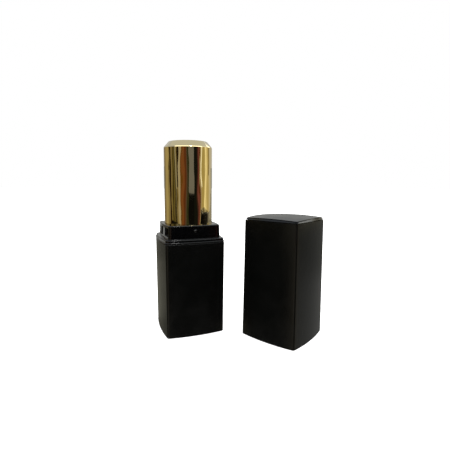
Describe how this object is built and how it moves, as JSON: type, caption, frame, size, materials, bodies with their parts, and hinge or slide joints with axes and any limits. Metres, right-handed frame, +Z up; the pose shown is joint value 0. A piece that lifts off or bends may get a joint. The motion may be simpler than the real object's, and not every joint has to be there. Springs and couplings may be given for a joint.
{
  "type": "lipstick case",
  "caption": "Square matte black lipstick case: weighted base with a turning gold sleeve that raises an empty cup, and its lined cap standing beside it.",
  "frame": {"origin": "centre of the base's foot, on the surface that the case stands on, on the axis that the sleeve turns about", "axes": "+Z up along the sleeve's axis; +X and -Y square to two faces of the base; the cap stands towards +X and -Y"},
  "size_m": [0.0546, 0.0428, 0.0673],
  "materials": {
    "matte_black": "black ABS with a fine matte coating",
    "gloss_black": "glossy moulded black ABS",
    "gold": "drawn aluminium, mirror-polished and gold-anodised",
    "steel": "plain pressed steel",
    "white_plastic": "natural white moulded plastic"
  },
  "bodies": {
    "base": {"base_shell": "matte_black", "base_weight": "steel", "inner_base": "gloss_black", "fork_tube": "white_plastic"},
    "sleeve": {"gold_sleeve": "gold", "spiral_tube": "white_plastic"},
    "cup": {"lipstick_cup": "white_plastic"},
    "cap": {"cap_shell": "matte_black", "cap_top_plate": "matte_black", "cap_liner": "gloss_black"}
  },
  "joints": [
    {"name": "sleeve_twist", "type": "hinge", "parent": "base", "child": "sleeve", "pos_m": [0, 0, 0.0215], "axis": [0, 0, 1], "range_deg": [0, 540]},
    {"name": "cup_lift", "type": "slide", "parent": "base", "child": "cup", "axis": [0, 0, 1], "range_m": [0, 0.0271]},
    {"name": "cap_lift", "type": "slide", "parent": "base", "child": "cap", "axis": [0, 0, 1], "range_m": [0, 0.07]}
  ],
  "couplings": [
    {"joint": "cup_lift", "follows": "sleeve_twist", "m_per_rad": 0.0028648}
  ]
}
